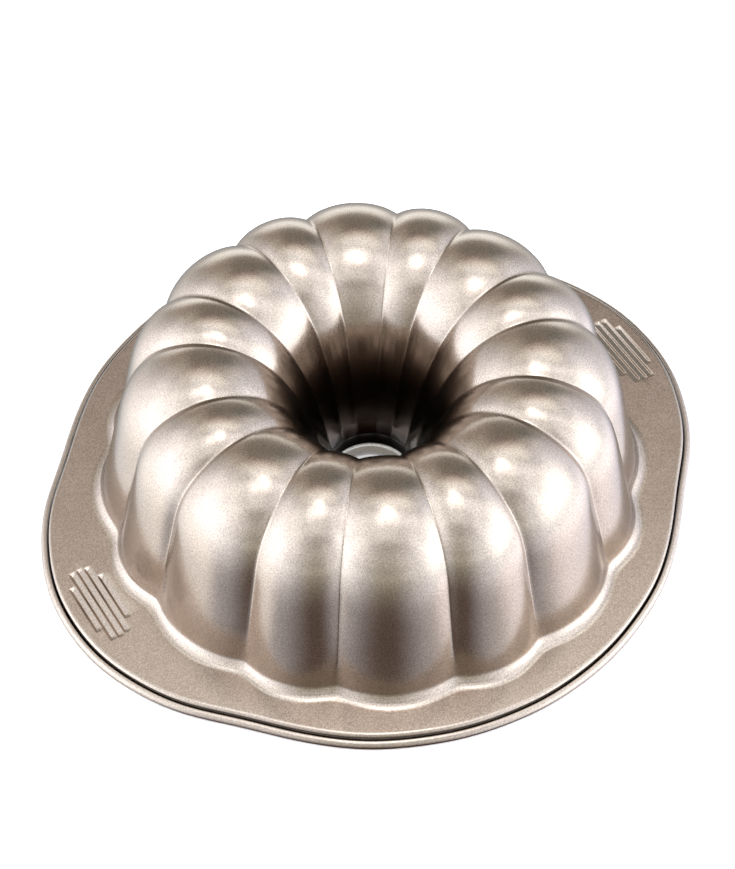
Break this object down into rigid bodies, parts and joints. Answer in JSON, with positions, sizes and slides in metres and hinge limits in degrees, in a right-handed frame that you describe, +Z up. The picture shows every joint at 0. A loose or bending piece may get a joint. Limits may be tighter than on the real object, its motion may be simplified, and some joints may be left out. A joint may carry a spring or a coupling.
{
  "type": "fluted tube pan",
  "caption": "Ring-shaped fluted baking pan with an open centre tube, a flat flange with ribbed grips and a wired rolled edge, stored upside down on its rim.",
  "frame": {"origin": "Centre of the rim's footprint on the table, with the pan upside down on its rim; the tube axis goes through it.", "axes": "+X through the middle of one grip, +Z up through the crown, +Y completes the right-handed frame."},
  "size_m": [0.3106, 0.284, 0.0889],
  "materials": {
    "pan_coating": "satin champagne non-stick coating on steel sheet",
    "wire_steel": "plain drawn steel wire"
  },
  "bodies": {
    "root": {"pan_body": "pan_coating", "rim_wire": "wire_steel"}
  },
  "joints": []
}
